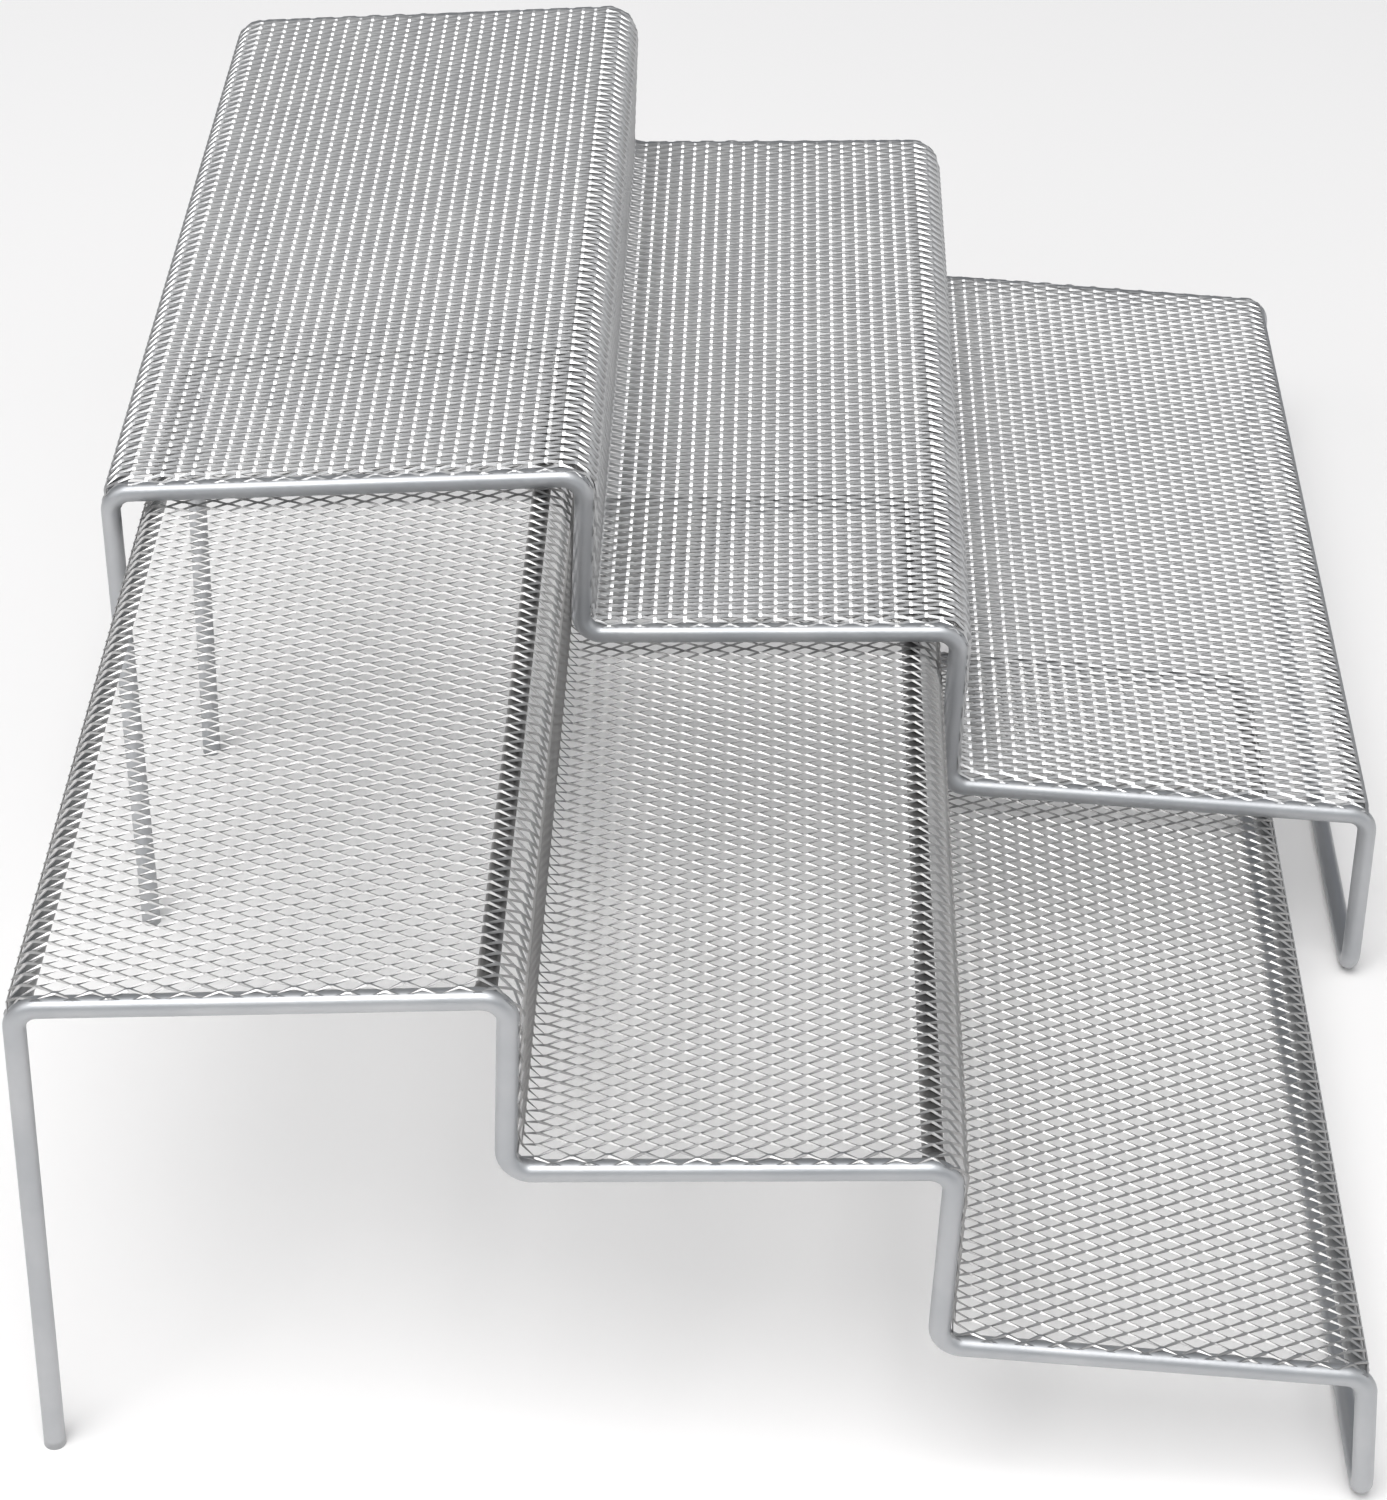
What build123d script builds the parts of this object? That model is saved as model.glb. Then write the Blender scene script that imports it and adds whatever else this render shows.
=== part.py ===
from build123d import *
from math import cos, hypot, radians, sin, tan
import os

# Expandable three-tier step shelf: two nesting halves of bent wire and folded expanded metal.
# Units are millimetres. X is the direction in which the shelf expands, -Y is the front with the low
# step, +Z is up. The inner half is at -X, and the outer half slides over it along X. The origin is the
# bottom centre of the whole shelf's box, with the halves drawn apart as they are at rest.

# Wire, sheet and rods
WIRE_D = 4.0
WIRE_R = WIRE_D / 2
BEND_R = 4.4  # centreline radius of the stair's bends
FOOT_BEND_R = 5.0  # centreline radius where a front leg turns into the floor rail
FOOT_TRIM = 1.0  # the back legs are drawn this much too long, then cut level with the floor
SHEET_T = 0.8  # overall thickness of the expanded metal
SHEET_OVERHANG = 0.8  # the sheet reaches past the end wires' centres, just over their crests
SHEET_EDGE = 0.4  # straight end of the sheet past its last bend
ROD_D = 3.8
ROD_R = ROD_D / 2

# How far round the wire's bends the sheet and the rods reach, in degrees from the tier's side
REAR_WRAP = 52
FRONT_WRAP = 34
REAR_ROD_TURN = 75
FRONT_ROD_TURN = 33
FOLD_ROD_TURN = 11

# Lengths along X, between the centres of a half's two end outlines
INNER_LENGTH = 225.0
OUTER_LENGTH = 230.0
DRAWN_OUT = 159.0  # from the inner half's near end to the outer half's near end, at rest

# The stair outline of each half: depths along Y, heights along Z, all to the wire's centre.
# Each tier leans a little: the upper two rise towards the front, the bottom one falls.
INNER = dict(
    back=5.4,
    back_foot=3.6,
    back_height=100.7,
    top_depth=83.4,
    top_rise=6.9,
    upper_riser=37.8,
    middle_depth=77.4,
    middle_rise=5.0,
    lower_riser=40.5,
    bottom_depth=76.9,
    bottom_fall=3.3,
    front_splay=3.1,
)
OUTER = dict(
    back=12.6,
    back_foot=8.3,
    back_height=107.4,
    top_depth=95.7,
    top_rise=8.8,
    upper_riser=37.1,
    middle_depth=77.8,
    middle_rise=4.5,
    lower_riser=38.0,
    bottom_depth=89.6,
    bottom_fall=2.9,
    front_splay=1.4,
)


def stair_corners(half):
    """The outline's corners as (y, z): back foot, six stair corners and the front foot."""
    y, z = half["back"], half["back_height"]
    corners = [(half["back_foot"], 0.0), (y, z)]
    for depth, rise, drop in (
        ("top_depth", half["top_rise"], half["upper_riser"]),
        ("middle_depth", half["middle_rise"], half["lower_riser"]),
        ("bottom_depth", -half["bottom_fall"], None),
    ):
        y, z = y - half[depth], z + rise
        corners.append((y, z))
        if drop:
            z -= drop
            corners.append((y, z))
    corners.append((y - half["front_splay"], WIRE_R))
    return corners


def unit(start, end):
    """The unit vector from one (y, z) point to another."""
    dy, dz = end[0] - start[0], end[1] - start[1]
    length = hypot(dy, dz)
    return dy / length, dz / length


def offset_corner(before, corner, after, distance):
    """The corner of the outline moved outwards: to the left of a path that runs from front to back."""
    (ay, az), (by, bz) = unit(before, corner), unit(corner, after)
    ny, nz = az + bz, -(ay + by)
    scale = distance / (1 + ay * by + az * bz)
    return corner[0] + ny * scale, corner[1] + nz * scale


def bend_centre(before, corner, after):
    """The centre of the bend at a corner, and the tangent point on the side of the point before."""
    (ay, az), (by, bz) = unit(corner, before), unit(corner, after)
    cos_corner = ay * by + az * bz
    half_sin = ((1 - cos_corner) / 2) ** 0.5
    half_tan = ((1 - cos_corner) / (1 + cos_corner)) ** 0.5
    my, mz = ay + by, az + bz
    reach = BEND_R / half_sin / hypot(my, mz)
    centre = corner[0] + my * reach, corner[1] + mz * reach
    tangent = corner[0] + ay * BEND_R / half_tan, corner[1] + az * BEND_R / half_tan
    return centre, tangent


# The two outlines fix the shelf's whole box, and so the origin
FRONT_MOST = stair_corners(OUTER)[-1][0] - WIRE_R
BACK_MOST = bend_centre(*stair_corners(OUTER)[:3])[0][0] + BEND_R + WIRE_R
NEAR_MOST = -WIRE_R
FAR_MOST = DRAWN_OUT + OUTER_LENGTH + WIRE_R
Y_SHIFT = -(FRONT_MOST + BACK_MOST) / 2
INNER_X = -(NEAR_MOST + FAR_MOST) / 2
OUTER_X = INNER_X + DRAWN_OUT


def placed(half):
    """The half's corners, moved so that the origin is at the middle of the whole box."""
    return [(y + Y_SHIFT, z) for y, z in stair_corners(half)]


def frame_path(half, x, length):
    """The wire's corners in space: down the near end, along the floor rail and back up the far end."""
    outline = placed(half)
    foot, top = outline[0], outline[1]
    lean = (top[0] - foot[0]) / (top[1] - foot[1])
    outline[0] = foot[0] - lean * FOOT_TRIM, foot[1] - FOOT_TRIM
    near = [(x, y, z) for y, z in outline]
    far = [(x + length, y, z) for y, z in reversed(outline)]
    return near + far


def sheet_end(inner, corner, leg, wrap):
    """The corner and end point of a sheet that leaves the wire's bend part-way round."""
    radius = BEND_R + WIRE_R + SHEET_T / 2
    ay, az = unit(inner, corner)
    ly, lz = leg
    along = ly * ay + lz * az
    half_tan = ((1 - along) / (1 + along)) ** 0.5
    side = hypot(ly - along * ay, lz - along * az)
    ny, nz = (ly - along * ay) / side, (lz - along * az) / side
    turn = radians(wrap)
    back = radius * (half_tan - tan(turn / 2))
    cut = corner[0] - ay * back, corner[1] - az * back
    reach = radius * tan(turn / 2) + SHEET_EDGE
    dy, dz = ay * cos(turn) + ny * sin(turn), az * cos(turn) + nz * sin(turn)
    return cut, (cut[0] + dy * reach, cut[1] + dz * reach)


def sheet_line(half):
    """The corners of the sheet's middle line, from its rear end over the stair to its front end."""
    outline = placed(half)
    away = WIRE_R + SHEET_T / 2
    line = [
        offset_corner(outline[i - 1], outline[i], outline[i + 1], away)
        for i in range(1, len(outline) - 1)
    ]
    rear, rear_end = sheet_end(line[1], line[0], unit(outline[1], outline[0]), REAR_WRAP)
    front, front_end = sheet_end(line[-2], line[-1], unit(outline[-2], outline[-1]), FRONT_WRAP)
    return [rear_end, rear, *line[1:-1], front, front_end]


def sheet_radii():
    """The middle line's bend radii: wider than the wire's on a convex fold, tighter on a concave one."""
    away = WIRE_R + SHEET_T / 2
    convex, concave = BEND_R + away, BEND_R - away
    return [convex, convex, concave, convex, concave, convex]


def rod_centres(half):
    """Where the four rods run, as (y, z): in the bends, on the wire's own centreline."""
    outline = placed(half)
    centres = {}
    for name, i, tier_side, turn in (
        ("rear_edge_rod", 1, 1, REAR_ROD_TURN),
        ("upper_fold_rod", 2, -1, FOLD_ROD_TURN),
        ("lower_fold_rod", 4, -1, FOLD_ROD_TURN),
        ("front_edge_rod", 6, -1, FRONT_ROD_TURN),
    ):
        before, corner, after = outline[i - tier_side], outline[i], outline[i + tier_side]
        centre, tangent = bend_centre(after, corner, before)
        out_y, out_z = unit(centre, tangent)
        on_y, on_z = unit(after, corner)
        angle = radians(turn)
        dy, dz = out_y * cos(angle) + on_y * sin(angle), out_z * cos(angle) + on_z * sin(angle)
        centres[name] = centre[0] + dy * BEND_R, centre[1] + dz * BEND_R
    return centres


def write(name, part):
    """Label a finished piece and write it to its own file."""
    part.label = name
    export_step(part, f"parts/{name}.step")
    print(f"{name}: {part.volume:.0f} mm3, {len(part.solids())} solid")


os.makedirs("parts", exist_ok=True)

for prefix, half, x_near, length in (
    ("inner", INNER, INNER_X, INNER_LENGTH),
    ("outer", OUTER, OUTER_X, OUTER_LENGTH),
):
    # The frame: one round wire, with its two cut ends standing on the floor at the back
    points = frame_path(half, x_near, length)
    feet = len(points) // 2 - 1, len(points) // 2
    radii = [FOOT_BEND_R if i in feet else BEND_R for i in range(1, len(points) - 1)]
    with BuildPart() as frame:
        with BuildLine() as wire_line:
            FilletPolyline(*points, radius=radii)
        with BuildSketch(Plane(wire_line.line @ 0, z_dir=wire_line.line % 0)):
            Circle(WIRE_R)
        sweep()
        # Both back feet end in a flat cut, level with the floor
        split(bisect_by=Plane.XY, keep=Keep.TOP)
    write(f"{prefix}_frame", frame.part)

    # The deck: the expanded-metal sheet as a plain folded strip, lying on both end outlines
    sheet_start = Plane.YZ.offset(x_near - SHEET_OVERHANG)
    with BuildPart() as deck:
        with BuildSketch(sheet_start):
            with BuildLine():
                FilletPolyline(*sheet_line(half), radius=sheet_radii())
            trace(line_width=SHEET_T)
        extrude(amount=length + 2 * SHEET_OVERHANG)
    write(f"{prefix}_mesh_deck", deck.part)

    # The rods: straight, each coped onto the two end outlines
    for rod_name, (rod_y, rod_z) in rod_centres(half).items():
        with BuildPart() as rod:
            with BuildSketch(Plane.YZ.offset(x_near)):
                with Locations((rod_y, rod_z)):
                    Circle(ROD_R)
            extrude(amount=length)
            add(frame.part, mode=Mode.SUBTRACT)
        write(f"{prefix}_{rod_name}", rod.part)
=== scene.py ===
from math import atan2, ceil, cos, pi, radians, sin, tan

import bmesh
import bpy
import numpy as np
from mathutils import Matrix, Vector, noise


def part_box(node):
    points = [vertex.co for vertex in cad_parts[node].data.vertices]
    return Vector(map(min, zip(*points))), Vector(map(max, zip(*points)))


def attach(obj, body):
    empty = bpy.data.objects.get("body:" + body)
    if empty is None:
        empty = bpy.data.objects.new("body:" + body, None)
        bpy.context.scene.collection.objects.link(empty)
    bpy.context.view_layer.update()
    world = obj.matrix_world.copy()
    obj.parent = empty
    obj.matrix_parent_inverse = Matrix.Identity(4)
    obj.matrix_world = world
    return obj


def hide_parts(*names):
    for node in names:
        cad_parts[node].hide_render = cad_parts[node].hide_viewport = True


# Looks for the expandable three-tier step shelf, in metres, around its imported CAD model.
# X is the direction in which the shelf expands, -Y is the front with the low step, +Z is up.

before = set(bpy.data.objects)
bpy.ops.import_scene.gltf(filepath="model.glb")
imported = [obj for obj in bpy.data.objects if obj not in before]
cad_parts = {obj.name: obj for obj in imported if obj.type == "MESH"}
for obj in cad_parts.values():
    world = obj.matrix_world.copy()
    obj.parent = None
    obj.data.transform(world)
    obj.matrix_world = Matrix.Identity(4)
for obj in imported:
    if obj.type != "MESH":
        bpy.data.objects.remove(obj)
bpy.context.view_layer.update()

MM = 0.001

# Wire, sheet and rods, as in the CAD model
WIRE_R = 2.0 * MM
BEND_R = 4.4 * MM
FOOT_BEND_R = 5.0 * MM
SHEET_T = 0.8 * MM
SHEET_EDGE = 0.4 * MM
ROD_R = 1.9 * MM
REAR_WRAP = radians(52)
FRONT_WRAP = radians(34)
REAR_ROD_TURN = radians(75)
FRONT_ROD_TURN = radians(33)
FOLD_ROD_TURN = radians(11)

# The expanded metal: centred diamonds, long way along the profile, short way along X
LONG_WAY = 6.2 * MM
SHORT_WAY = 3.05 * MM
STRAND_WIDTH = 0.58 * MM
STRAND_T = 0.4 * MM
BOND_HALF = 0.32 * MM  # half of a bond's length, along the profile
BOND_RIDGE = 0.1 * MM  # how far each bond is raised along its middle
SHEARED_BELOW = 0.5  # a face is sheared where its normal's cosine to the strand's top is below this

# The sheet over the end wires
HOOK = 0.85 * MM  # how far the cut strands reach over the end wires' centres
PRESSED = 0.4 * MM  # how far the sheet is sunk into the end wires' crests
WIRE_FLATTENED = 0.45  # how much of the strands' height is pressed out there
WIRE_REACH = 1.3 * MM  # how far inside the wire's centre the pressing is down to half
WIRE_FADE = 0.35 * MM

# The sheet's rear and front ends
END_FLATTENED = 0.35  # how much of the strands' height is pressed out there
END_REACH = 1.5 * MM  # how far from the end the pressing is down to half
END_FADE = 0.4 * MM
STRIP_SPARE = 1.0 * MM  # the plain strip is made this much too long at each side, then cut
STRIP_STEP = 0.5 * MM

# How the sheared edges wander along X: two waves over the profile, fading out towards the middle
RAGGED = 0.16 * MM
RAGGED_LONG = 9.1 * MM
RAGGED_SHORT = 3.7 * MM
RAGGED_SHORT_SHARE = 0.6
RAGGED_FADE = 4 * MM

# The wire's paint is a little uneven, and each rod has a small weld bead at its ends
WIRE_UNEVEN = 0.012
WIRE_UNEVEN_SCALE = 120  # in waves per metre, about
WELD_BEAD = 0.3 * MM
WELD_REACH = WIRE_R * 0.8

# How finely the meshes are divided
LEAST_ARC = 4
SHEET_ARC_STEP = 0.2 * MM
WIRE_ARC_STEP = 0.6 * MM
WIRE_GAP = 2.5 * MM
WIRE_SIDES = 28
ROD_GAP = 5 * MM
ROD_END_GAP = 0.4 * MM
ROD_SIDES = 20

# The stair outline of each half, to the wire's centre, as in the CAD model, in millimetres. The last
# five values are for its sheet, in the script's own units: the louvres' lean, how far the rows run off
# along X for each metre of the profile, the widths of the two plain strips, and a seed.
INNER = dict(
    name="inner",
    back=5.4,
    back_foot=3.6,
    back_height=100.7,
    top_depth=83.4,
    top_rise=6.9,
    upper_riser=37.8,
    middle_depth=77.4,
    middle_rise=5.0,
    lower_riser=40.5,
    bottom_depth=76.9,
    bottom_fall=3.3,
    front_splay=3.1,
    lean=radians(38),
    skew=0.04,
    rear_margin=0.4 * MM,
    front_margin=0.4 * MM,
    seed=3.0,
)
OUTER = dict(
    name="outer",
    back=12.6,
    back_foot=8.3,
    back_height=107.4,
    top_depth=95.7,
    top_rise=8.8,
    upper_riser=37.1,
    middle_depth=77.8,
    middle_rise=4.5,
    lower_riser=38.0,
    bottom_depth=89.6,
    bottom_fall=2.9,
    front_splay=1.4,
    lean=radians(-38),
    skew=0.025,
    rear_margin=0.8 * MM,
    front_margin=1.0 * MM,
    seed=11.0,
)


# Outlines


def stair_corners(half):
    """The outline's corners as (y, z) in metres: back foot, six stair corners and the front foot."""
    y, z = half["back"], half["back_height"]
    corners = [(half["back_foot"], 0.0), (y, z)]
    for depth, rise, drop in (
        ("top_depth", half["top_rise"], half["upper_riser"]),
        ("middle_depth", half["middle_rise"], half["lower_riser"]),
        ("bottom_depth", -half["bottom_fall"], None),
    ):
        y, z = y - half[depth], z + rise
        corners.append((y, z))
        if drop:
            z -= drop
            corners.append((y, z))
    corners = [(y * MM, z * MM) for y, z in corners]
    corners.append((corners[-1][0] - half["front_splay"] * MM, WIRE_R))
    return corners


# The CAD frame of the outer half says where the outlines stand along Y
front_most = stair_corners(OUTER)[-1][0] - WIRE_R
Y_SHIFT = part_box("outer_frame")[0].y - front_most


def outline(half):
    """The half's corners as 2D vectors in the row frame."""
    return [Vector((y + Y_SHIFT, z)) for y, z in stair_corners(half)]


def ends(half):
    """The X of the centres of the half's two end outlines, near and far."""
    low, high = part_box(half["name"] + "_frame")
    return low.x + WIRE_R, high.x - WIRE_R


def rounded(points, radii, step):
    """The path through the points with its inner corners rounded, in arcs of pieces about step long."""
    path = [points[0]]
    for before, corner, after, radius in zip(points, points[1:], points[2:], radii):
        a, b = (corner - before).normalized(), (after - corner).normalized()
        turn = a.angle(b)
        run = radius * sin(turn / 2) / cos(turn / 2)
        start = corner - a * run
        centre = corner + (b - a).normalized() * (radius / cos(turn / 2))
        pieces = max(LEAST_ARC, ceil(radius * turn / step))
        for k in range(pieces + 1):
            angle = turn * k / pieces
            path.append(centre + (start - centre) * cos(angle) + a * (radius * sin(angle)))
    path.append(points[-1])
    return path


def offset_corner(before, corner, after, distance):
    """The corner moved outwards: to the left of a path that runs from front to back."""
    a, b = (corner - before).normalized(), (after - corner).normalized()
    scale = distance / (1 + a.dot(b))
    return corner + Vector((a.y + b.y, -(a.x + b.x))) * scale


def sheet_end(inner, corner, leg, wrap):
    """The corner and end point of a sheet that leaves the wire's bend part-way round."""
    radius = BEND_R + WIRE_R + SHEET_T / 2
    along = (corner - inner).normalized()
    side = (leg - along * leg.dot(along)).normalized()
    cut = corner - along * radius * (tan(along.angle(leg) / 2) - tan(wrap / 2))
    onward = along * cos(wrap) + side * sin(wrap)
    return cut, cut + onward * (radius * tan(wrap / 2) + SHEET_EDGE)


def sheet_path(half):
    """The sheet's middle line as a dense path, from its rear end over the stair to its front end."""
    corners = outline(half)
    away = WIRE_R + SHEET_T / 2
    line = [
        offset_corner(corners[i - 1], corners[i], corners[i + 1], away)
        for i in range(1, len(corners) - 1)
    ]
    rear, rear_end = sheet_end(line[1], line[0], corners[0] - corners[1], REAR_WRAP)
    front, front_end = sheet_end(line[-2], line[-1], corners[-1] - corners[-2], FRONT_WRAP)
    line = [rear_end, rear, *line[1:-1], front, front_end]
    convex, concave = BEND_R + away, BEND_R - away
    return rounded(line, [convex, convex, concave, convex, concave, convex], SHEET_ARC_STEP)


def rod_centres(half):
    """Where the four rods run, as (y, z): in the bends, on the wire's own centreline."""
    corners = outline(half)
    centres = {}
    for name, i, tier_side, turn in (
        ("rear_edge_rod", 1, 1, REAR_ROD_TURN),
        ("upper_fold_rod", 2, -1, FOLD_ROD_TURN),
        ("lower_fold_rod", 4, -1, FOLD_ROD_TURN),
        ("front_edge_rod", 6, -1, FRONT_ROD_TURN),
    ):
        along = (corners[i] - corners[i + tier_side]).normalized()
        onward = (corners[i - tier_side] - corners[i]).normalized()
        half_turn = along.angle(onward) / 2
        tangent = corners[i] - along * BEND_R * tan(half_turn)
        inwards = (onward - along * onward.dot(along)).normalized()
        centre = tangent + inwards * BEND_R
        centres[name] = centre + (along * sin(turn) - inwards * cos(turn)) * BEND_R
    return centres


# Materials


def new_material(name):
    """A material and its Principled shader node."""
    material = bpy.data.materials.new(name)
    material.use_nodes = True
    return material, material.node_tree.nodes["Principled BSDF"]


def noise_node(tree, coordinates, scale, detail, roughness=0.5):
    """A noise texture over the object's own coordinates, with its scale in features per metre."""
    node = tree.nodes.new("ShaderNodeTexNoise")
    node.inputs["Scale"].default_value = scale
    node.inputs["Detail"].default_value = detail
    node.inputs["Roughness"].default_value = roughness
    tree.links.new(coordinates.outputs["Object"], node.inputs["Vector"])
    return node


def ramp(tree, value, stops):
    """A colour ramp over a value, from a list of places and colours."""
    node = tree.nodes.new("ShaderNodeValToRGB")
    elements = node.color_ramp.elements
    while len(elements) < len(stops):
        elements.new(0.5)
    for element, (place, color) in zip(elements, stops):
        element.position = place
        element.color = (*color, 1)
    tree.links.new(value, node.inputs["Fac"])
    return node


def painted(name, low, high, metallic, smoothest, roughest, peel):
    """Silver-grey powder coat: patches in the colour, uneven gloss and orange peel."""
    material, shader = new_material(name)
    tree = material.node_tree
    coordinates = tree.nodes.new("ShaderNodeTexCoord")
    patches = noise_node(tree, coordinates, scale=60, detail=5)
    color = ramp(tree, patches.outputs["Fac"], [(0.3, low), (0.7, high)])
    tree.links.new(color.outputs["Color"], shader.inputs["Base Color"])
    shader.inputs["Metallic"].default_value = metallic
    gloss = noise_node(tree, coordinates, scale=220, detail=3)
    spread = tree.nodes.new("ShaderNodeMapRange")
    spread.inputs["To Min"].default_value = smoothest
    spread.inputs["To Max"].default_value = roughest
    tree.links.new(gloss.outputs["Fac"], spread.inputs["Value"])
    tree.links.new(spread.outputs["Result"], shader.inputs["Roughness"])
    grain = noise_node(tree, coordinates, scale=peel["scale"], detail=3, roughness=0.6)
    bump = tree.nodes.new("ShaderNodeBump")
    bump.inputs["Strength"].default_value = 0.5
    bump.inputs["Distance"].default_value = peel["depth"]
    tree.links.new(grain.outputs["Fac"], bump.inputs["Height"])
    tree.links.new(bump.outputs["Normal"], shader.inputs["Normal"])
    return material


WIRE_PEEL = dict(scale=900, depth=0.05 * MM)
MESH_PEEL = dict(scale=1500, depth=0.03 * MM)

wire_paint = painted(
    "wire_paint",
    low=(0.41, 0.42, 0.435),
    high=(0.49, 0.495, 0.505),
    metallic=0.85,
    smoothest=0.4,
    roughest=0.52,
    peel=WIRE_PEEL,
)
mesh_paint = painted(
    "mesh_paint",
    low=(0.48, 0.48, 0.485),
    high=(0.53, 0.53, 0.53),
    metallic=0.9,
    smoothest=0.33,
    roughest=0.45,
    peel=MESH_PEEL,
)
# Sheared faces of the strands: darker, partly for the thin paint on cut edges and partly as painted
# shade for the dark gaps between strands.
sheared_tone_and_shade = painted(
    "sheared_tone_and_shade",
    low=(0.33, 0.325, 0.32),
    high=(0.38, 0.375, 0.37),
    metallic=0.9,
    smoothest=0.28,
    roughest=0.4,
    peel=MESH_PEEL,
)
# The rods: darker than the wire, as painted shade for their place just under the sheet.
rod_painted_shade = painted(
    "rod_painted_shade",
    low=(0.28, 0.285, 0.29),
    high=(0.38, 0.38, 0.38),
    metallic=0.85,
    smoothest=0.3,
    roughest=0.42,
    peel=WIRE_PEEL,
)
# The fold rods: darker still, as painted shade for the dark holes beside the folds.
fold_rod_painted_shade = painted(
    "fold_rod_painted_shade",
    low=(0.15, 0.15, 0.15),
    high=(0.22, 0.215, 0.21),
    metallic=0.8,
    smoothest=0.3,
    roughest=0.42,
    peel=WIRE_PEEL,
)


# Pieces


def piece(name, mesh, half, material, stands_for):
    """A finished piece that rides on its half's body and stands for a CAD node."""
    made = bpy.data.objects.new(name, mesh)
    bpy.context.scene.collection.objects.link(made)
    mesh.materials.append(material)
    mesh.shade_smooth()
    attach(made, half["name"] + "_half")
    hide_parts(stands_for)
    return made


def tube(name, path, radius_at, sides):
    """A round bar along a 3D path, with its cut ends closed."""
    points = [Vector(p) for p in path]
    sideways = (points[1] - points[0]).orthogonal().normalized()
    vertices, faces = [], []
    for i, p in enumerate(points):
        ahead = points[min(i + 1, len(points) - 1)] - p
        behind = p - points[max(i - 1, 0)]
        along = (ahead.normalized() + behind.normalized()).normalized()
        sideways = (sideways - along * sideways.dot(along)).normalized()
        other = along.cross(sideways)
        radius = radius_at(p)
        for k in range(sides):
            angle = 2 * pi * k / sides
            vertices.append(p + (sideways * cos(angle) + other * sin(angle)) * radius)
    for i in range(len(points) - 1):
        for k in range(sides):
            n = (k + 1) % sides
            lower, upper = i * sides, (i + 1) * sides
            faces.append((lower + k, lower + n, upper + n, upper + k))
    faces.append(tuple(reversed(range(sides))))
    faces.append(tuple((len(points) - 1) * sides + k for k in range(sides)))
    mesh = bpy.data.meshes.new(name)
    mesh.from_pydata(vertices, [], faces)
    return mesh


def frame_path(half):
    """The wire's centreline: down the near end, along the floor rail and back up the far end."""
    near, far = ends(half)
    corners = outline(half)
    first = [Vector((near, p.x, p.y)) for p in corners]
    second = [Vector((far, p.x, p.y)) for p in reversed(corners)]
    path = first + second
    feet = len(first) - 1, len(first)
    radii = [FOOT_BEND_R if i in feet else BEND_R for i in range(1, len(path) - 1)]
    return rounded(path, radii, WIRE_ARC_STEP)


def spaced(path, gap):
    """The path with points added on its long runs, so that none is longer than gap."""
    points = [path[0]]
    for a, b in zip(path, path[1:]):
        pieces = max(1, ceil((b - a).length / gap))
        points += [a.lerp(b, k / pieces) for k in range(1, pieces + 1)]
    return points


def make_frame(half):
    """The bent wire, its paint a little uneven along it."""

    def radius_at(p):
        bumps = noise.noise(p * WIRE_UNEVEN_SCALE + Vector((half["seed"], 0, 0)))
        return WIRE_R * (1 + WIRE_UNEVEN * bumps)

    path = spaced(frame_path(half), WIRE_GAP)
    mesh = tube(half["name"] + "_wire", path, radius_at, WIRE_SIDES)
    name = half["name"] + "_frame"
    return piece(name + "_wire", mesh, half, wire_paint, name)


def make_rod(half, rod_name, centre):
    """A straight rod between the end wires, with a small weld bead where it meets each."""
    near, far = ends(half)
    places = (near, near + 2 * WIRE_R, far - 2 * WIRE_R, far)
    first, second, third, last = (Vector((x, *centre)) for x in places)
    path = spaced([first, second], ROD_END_GAP)
    path += spaced([second, third], ROD_GAP)[1:]
    path += spaced([third, last], ROD_END_GAP)[1:]

    def radius_at(p):
        from_wire = abs(min(p.x - near, far - p.x) - WIRE_R)
        return ROD_R + WELD_BEAD * max(0.0, 1 - from_wire / WELD_REACH) ** 2

    name = f"{half['name']}_{rod_name}"
    mesh = tube(name, path, radius_at, ROD_SIDES)
    # Both rod colours are painted shade, the fold rods darkest.
    paint = fold_rod_painted_shade if "fold" in rod_name else rod_painted_shade
    return piece(name + "_bar", mesh, half, paint, name)


# The expanded metal


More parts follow.
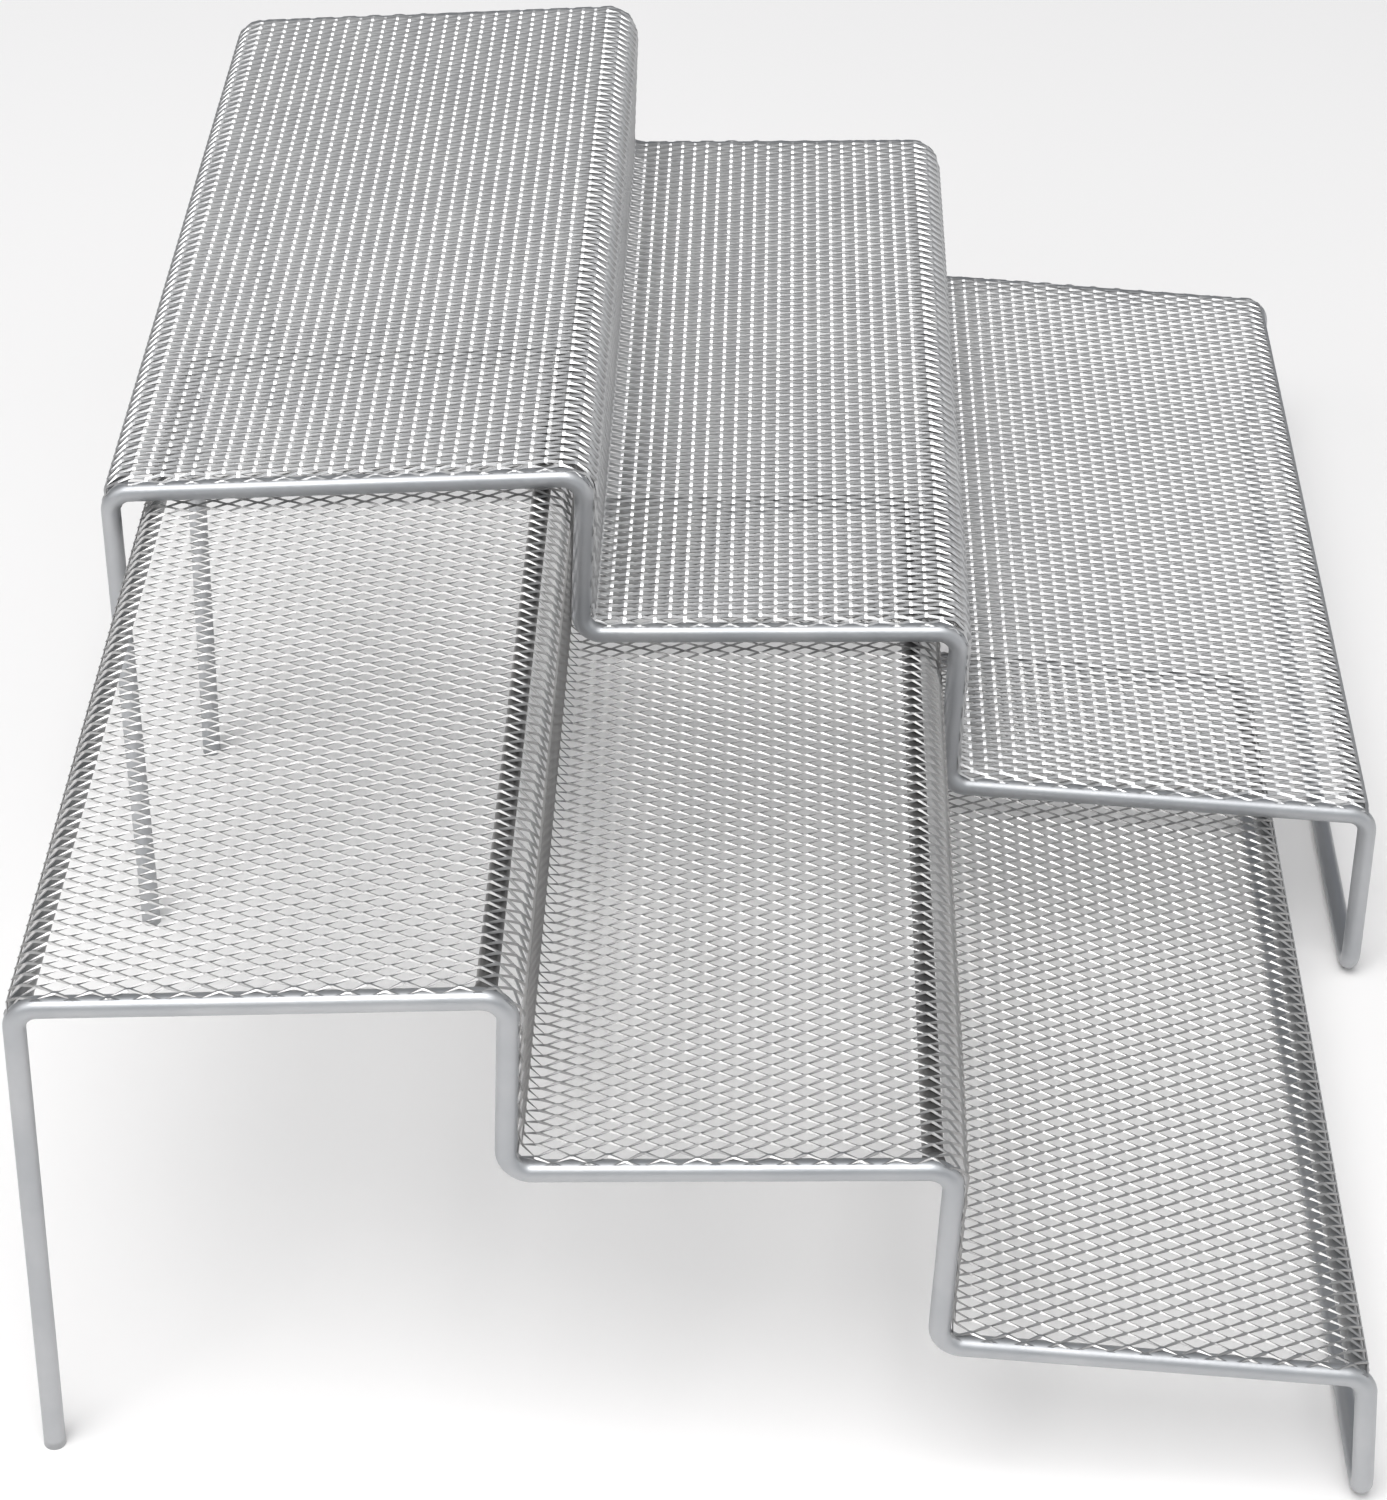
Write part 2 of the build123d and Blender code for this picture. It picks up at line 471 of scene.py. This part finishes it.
def lattice(length, width, half):
    """Vertices (along the profile, along X, out of the sheet) and faces of the flat diamond mesh."""
    run = length - half["rear_margin"] - half["front_margin"]
    count = round(run / (LONG_WAY / 2))
    spare = ceil(abs(half["skew"]) * length / SHORT_WAY) + 2
    rows = np.arange(-spare, ceil(width / SHORT_WAY) + spare)
    i, j = np.meshgrid(np.arange(count + 1), rows, indexing="ij")
    u0 = half["rear_margin"] + i * (run / count)
    v0 = (j + (i % 2) / 2) * SHORT_WAY + half["skew"] * u0

    # Each bond has six corners on top and three below, where the strands meet at a point
    lean = half["lean"]
    across = np.array([-1, 0, 1, -1, 0, 1, -1, 0, 1]) * STRAND_WIDTH
    along = np.array([-1, -1, -1, 1, 1, 1, 0, 0, 0]) * BOND_HALF
    up = np.array([1, 1, 1, 1, 1, 1, -1, -1, -1]) * STRAND_T / 2
    dv = across * cos(lean) + up * sin(lean)
    dn = -across * sin(lean) + up * cos(lean) + (across == 0) * BOND_RIDGE
    corners = len(across)
    vertices = np.empty((*i.shape, corners, 3))
    vertices[..., 0] = np.clip(u0[..., None] + along, 0, length)
    vertices[..., 1] = v0[..., None] + dv
    vertices[..., 2] = dn
    number = np.arange(i.size).reshape(i.shape) * corners

    faces = []
    bond = number.ravel()[:, None]
    for ring in ((0, 3, 4, 1), (1, 4, 5, 2), (0, 6, 3), (5, 8, 2)):
        faces += (bond + np.array(ring)).tolist()

    # The strands run from each bond to the two bonds half a pitch on in the next column
    odd = (i[:-1] % 2).astype(int)
    row = np.arange(i.shape[1])[None, :] + np.zeros_like(odd)
    column = np.arange(i.shape[0] - 1)[:, None] + np.zeros_like(odd)
    for shift, here, there in (
        (odd, (4, 5, 7, 8), (0, 1, 6, 7)),
        (odd - 1, (3, 4, 6, 7), (1, 2, 7, 8)),
    ):
        target = row + shift
        inside = (target >= 0) & (target < i.shape[1])
        a = number[column[inside], row[inside]][:, None]
        b = number[column[inside] + 1, target[inside]][:, None]
        top_a, back_a, low_a, under_a = (a + k for k in here)
        top_b, back_b, low_b, under_b = (b + k for k in there)
        for quad in (
            (top_a, top_b, back_b, back_a),
            (low_a, under_a, under_b, low_b),
            (top_a, low_a, low_b, top_b),
            (back_a, back_b, under_b, under_a),
        ):
            faces += np.concatenate(quad, axis=1).tolist()

    # The two end columns of bonds are closed where the mesh stops
    for column, ring in ((0, (0, 1, 2, 8, 7, 6)), (count, (6, 7, 8, 5, 4, 3))):
        faces += (number[column][:, None] + np.array(ring)).tolist()
    return vertices.reshape(-1, 3), faces


def margin(start, stop, width, first):
    """The plain strip along one end of the sheet: its vertices, and its faces numbered from first."""
    pieces = ceil((width + 2 * STRIP_SPARE) / STRIP_STEP)
    v = np.linspace(-STRIP_SPARE, width + STRIP_SPARE, pieces + 1)
    section = [(start, -1), (stop, -1), (stop, 1), (start, 1)]
    vertices = np.array([[(u, place, side * STRAND_T / 2) for u, side in section] for place in v])
    faces = []
    for k in range(pieces):
        for c in range(4):
            n = (c + 1) % 4
            here, there = first + 4 * k, first + 4 * (k + 1)
            faces.append((here + c, there + c, there + n, here + n))
    faces.append((first, first + 1, first + 2, first + 3))
    faces.append(tuple(first + 4 * pieces + c for c in (3, 2, 1, 0)))
    return vertices.reshape(-1, 3), faces


def trimmed(vertices, faces, width):
    """The flat mesh cut to the sheet's width, with the cut strands closed."""
    mesh = bpy.data.meshes.new("trim")
    mesh.from_pydata(vertices, [], faces)
    work = bmesh.new()
    work.from_mesh(mesh)
    bpy.data.meshes.remove(mesh)
    for place, outwards in (((0, 0, 0), (0, -1, 0)), ((0, width, 0), (0, 1, 0))):
        geometry = work.verts[:] + work.edges[:] + work.faces[:]
        bmesh.ops.bisect_plane(
            work, geom=geometry, plane_co=place, plane_no=outwards, clear_outer=True
        )
    open_edges = [e for e in work.edges if e.is_boundary]
    bmesh.ops.holes_fill(work, edges=open_edges, sides=0)
    return work


def ragged(u, v, width, seed):
    """How far the sheared edges wander along X, fading out towards the middle of the sheet."""
    wave = np.sin(u / RAGGED_LONG + seed)
    wave += RAGGED_SHORT_SHARE * np.sin(u / RAGGED_SHORT + 2 * seed)
    near_edge = np.exp(-np.clip(v, 0, None) / RAGGED_FADE)
    far_edge = np.exp(-np.clip(width - v, 0, None) / RAGGED_FADE)
    return RAGGED * wave * (near_edge - far_edge)


def fading(distance, reach, fade):
    """A factor that is 1 close to an edge, half at its reach and 0 beyond."""
    return 1 / (1 + np.exp((distance - reach) / fade))


def stations(path):
    """How far along the path each of its points lies."""
    return np.concatenate([[0], np.cumsum([(b - a).length for a, b in zip(path, path[1:])])])


def folded(flat, half, path):
    """The flat mesh's vertices in space: hooked over the two end wires and folded along the path."""
    near, far = ends(half)
    station = stations(path)
    heading = np.unwrap([atan2(b.y - a.y, b.x - a.x) for a, b in zip(path, path[1:])])
    middles = (station[:-1] + station[1:]) / 2
    length, width = station[-1], far - near + 2 * HOOK
    u, v, n = flat[:, 0], flat[:, 1], flat[:, 2]

    # The sheet is pressed flatter along its rear and front ends
    from_end = np.minimum(u, length - u)
    n = n * (1 - END_FLATTENED * fading(from_end, END_REACH, END_FADE))

    # Over the end wires the sheet is pressed flatter, and its cut ends wrap round the wire
    from_wire = np.minimum(v - HOOK, width - HOOK - v)
    press = fading(from_wire, WIRE_REACH, WIRE_FADE)
    n = n * (1 - WIRE_FLATTENED * press) - PRESSED * press
    over = np.clip(-from_wire, 0, None)
    wrap_r = WIRE_R + SHEET_T / 2 - PRESSED
    turn = over / wrap_r
    shift = (wrap_r + n + PRESSED) * np.sin(turn) - over
    n = np.where(over > 0, (wrap_r + n + PRESSED) * np.cos(turn) - wrap_r - PRESSED, n)
    outwards = np.where(v < width / 2, -1.0, 1.0)

    angle = np.interp(u, middles, heading)
    x = near - HOOK + v + outwards * shift
    y = np.interp(u, station, [p.x for p in path]) + n * np.sin(angle)
    z = np.interp(u, station, [p.y for p in path]) - n * np.cos(angle)
    return np.stack([x, y, z], axis=1)


def make_deck(half):
    """The folded sheet of expanded metal, hooked over the two end wires."""
    near, far = ends(half)
    path = sheet_path(half)
    length, width = stations(path)[-1], far - near + 2 * HOOK

    vertices, faces = lattice(length, width, half)
    for start, stop in (
        (0, half["rear_margin"]),
        (length - half["front_margin"], length),
    ):
        strip, more = margin(start, stop, width, len(vertices))
        vertices = np.concatenate([vertices, strip])
        faces += more
    vertices[:, 1] += ragged(vertices[:, 0], vertices[:, 1], width, half["seed"])
    work = trimmed(vertices, faces, width)

    # The strands' sheared faces get a darker tone, partly the thin paint on cut edges and partly
    # painted shade in the gaps between strands, told apart while the sheet is still flat
    work.normal_update()
    strand_up = Vector((0, sin(half["lean"]), cos(half["lean"])))
    for face in work.faces:
        face.material_index = int(abs(face.normal.dot(strand_up)) < SHEARED_BELOW)

    flat = np.array([v.co for v in work.verts])
    for vertex, place in zip(work.verts, folded(flat, half, path).tolist()):
        vertex.co = place
    mesh = bpy.data.meshes.new(half["name"] + "_mesh")
    work.to_mesh(mesh)
    work.free()
    name = half["name"] + "_mesh_deck"
    made = piece(name + "_expanded", mesh, half, mesh_paint, name)
    # The second material is the sheared faces' darker tone, partly painted shade.
    mesh.materials.append(sheared_tone_and_shade)
    mesh.shade_flat()
    return made


for half in (INNER, OUTER):
    make_frame(half)
    for rod_name, centre in rod_centres(half).items():
        make_rod(half, rod_name, centre)
    make_deck(half)


# Floor, light and camera


def make_floor():
    """A pale floor, large enough to fill every view."""
    floor_mesh = bpy.data.meshes.new("floor")
    size = 30
    floor_mesh.from_pydata(
        [(-size, -size, 0), (size, -size, 0), (size, size, 0), (-size, size, 0)], [], [(0, 1, 2, 3)]
    )
    ground = bpy.data.objects.new("floor", floor_mesh)
    bpy.context.scene.collection.objects.link(ground)
    material, shader = new_material("floor_paper")
    shader.inputs["Base Color"].default_value = (0.92, 0.905, 0.895, 1)
    shader.inputs["Roughness"].default_value = 0.7
    floor_mesh.materials.append(material)


LIT_PLACE = Vector((0, 0, 0.05))
SKY_TOP = Vector((-0.3, 0, 0.954))  # the middle of the bright patch overhead
SKY_PATCH_EDGE = 0.78  # cosines of the angles from that middle at which the patch starts and is full
SKY_PATCH_CORE = 0.97
SKY_PATCH_STRENGTH = 0.9
SKY_AROUND_STRENGTH = 0.9


def area_light(name, place, size, power):
    """A soft box at a place, turned to the shelf."""
    light = bpy.data.lights.new(name, "AREA")
    light.shape = "SQUARE"
    light.size = size
    light.energy = power
    made = bpy.data.objects.new(name, light)
    made.location = place
    made.rotation_euler = (LIT_PLACE - Vector(place)).to_track_quat("-Z", "Y").to_euler()
    bpy.context.scene.collection.objects.link(made)


def make_sky():
    """Surroundings: pale at -X and darkening towards +X, with a bright patch overhead."""
    world = bpy.data.worlds.new("studio")
    world.use_nodes = True
    bpy.context.scene.world = world
    tree = world.node_tree
    coordinates = tree.nodes.new("ShaderNodeTexCoord")
    parts = tree.nodes.new("ShaderNodeSeparateXYZ")
    tree.links.new(coordinates.outputs["Generated"], parts.inputs["Vector"])
    along = tree.nodes.new("ShaderNodeMapRange")
    along.inputs["From Min"].default_value = -1
    tree.links.new(parts.outputs["X"], along.inputs["Value"])
    stops = [
        (0.0, (0.5, 0.53, 0.56)),
        (0.25, (0.48, 0.5, 0.52)),
        (0.5, (0.38, 0.38, 0.38)),
        (0.75, (0.22, 0.23, 0.25)),
        (1.0, (0.2, 0.22, 0.25)),
    ]
    around = ramp(tree, along.outputs["Result"], stops)
    low = tree.nodes["Background"]
    low.inputs["Strength"].default_value = SKY_AROUND_STRENGTH
    tree.links.new(around.outputs["Color"], low.inputs["Color"])

    overhead = tree.nodes.new("ShaderNodeVectorMath")
    overhead.operation = "DOT_PRODUCT"
    overhead.inputs[1].default_value = SKY_TOP
    tree.links.new(coordinates.outputs["Generated"], overhead.inputs[0])
    patch = tree.nodes.new("ShaderNodeMapRange")
    patch.interpolation_type = "SMOOTHSTEP"
    patch.inputs["From Min"].default_value = SKY_PATCH_EDGE
    patch.inputs["From Max"].default_value = SKY_PATCH_CORE
    patch.inputs["To Max"].default_value = SKY_PATCH_STRENGTH
    tree.links.new(overhead.outputs["Value"], patch.inputs["Value"])
    high = tree.nodes.new("ShaderNodeBackground")
    tree.links.new(patch.outputs["Result"], high.inputs["Strength"])
    both = tree.nodes.new("ShaderNodeAddShader")
    tree.links.new(low.outputs["Background"], both.inputs[0])
    tree.links.new(high.outputs["Background"], both.inputs[1])
    out = tree.nodes["World Output"]
    tree.links.new(both.outputs["Shader"], out.inputs["Surface"])


def make_light():
    """The sky and three soft boxes."""
    make_sky()
    area_light("high", place=(-1.05, 0.3, 2.05), size=1.3, power=36)
    area_light("left", place=(-0.9, 1.3, 1.1), size=1.0, power=5)
    area_light("right", place=(-0.3, -1.6, 0.7), size=1.2, power=3.5)


CAMERA_BACK = 0.50546  # from the inner half's near end, in metres
CAMERA_ASIDE = 0.10494
CAMERA_UP = 0.50275
CAMERA_DOWN = 0.5967395  # below the horizon, in radians
CAMERA_TURN = -0.0037829  # from +X towards +Y
CAMERA_ROLL = 0.0482566
FOCAL_OVER_WIDTH = 2.76155  # the focal length in widths of the picture
SENSOR = 36.0  # in millimetres


def make_camera():
    """The camera, looking along +X and down over the near end."""
    ahead = Vector(
        (
            cos(CAMERA_DOWN) * cos(CAMERA_TURN),
            cos(CAMERA_DOWN) * sin(CAMERA_TURN),
            -sin(CAMERA_DOWN),
        )
    )
    level_right = ahead.cross(Vector((0, 0, 1))).normalized()
    level_up = level_right.cross(ahead)
    right = level_right * cos(CAMERA_ROLL) + level_up * sin(CAMERA_ROLL)
    up = level_up * cos(CAMERA_ROLL) - level_right * sin(CAMERA_ROLL)
    data = bpy.data.cameras.new("camera")
    data.sensor_fit = "HORIZONTAL"
    data.sensor_width = SENSOR
    data.lens = SENSOR * FOCAL_OVER_WIDTH
    data.clip_start = 0.01
    made = bpy.data.objects.new("camera", data)
    place = Vector((ends(INNER)[0] - CAMERA_BACK, Y_SHIFT - CAMERA_ASIDE, CAMERA_UP))
    made.matrix_world = Matrix.Translation(place) @ Matrix(
        (right, up, -ahead)
    ).transposed().to_4x4()
    bpy.context.scene.collection.objects.link(made)
    bpy.context.scene.camera = made


make_floor()
make_light()
make_camera()
bpy.context.scene.view_settings.view_transform = "Standard"
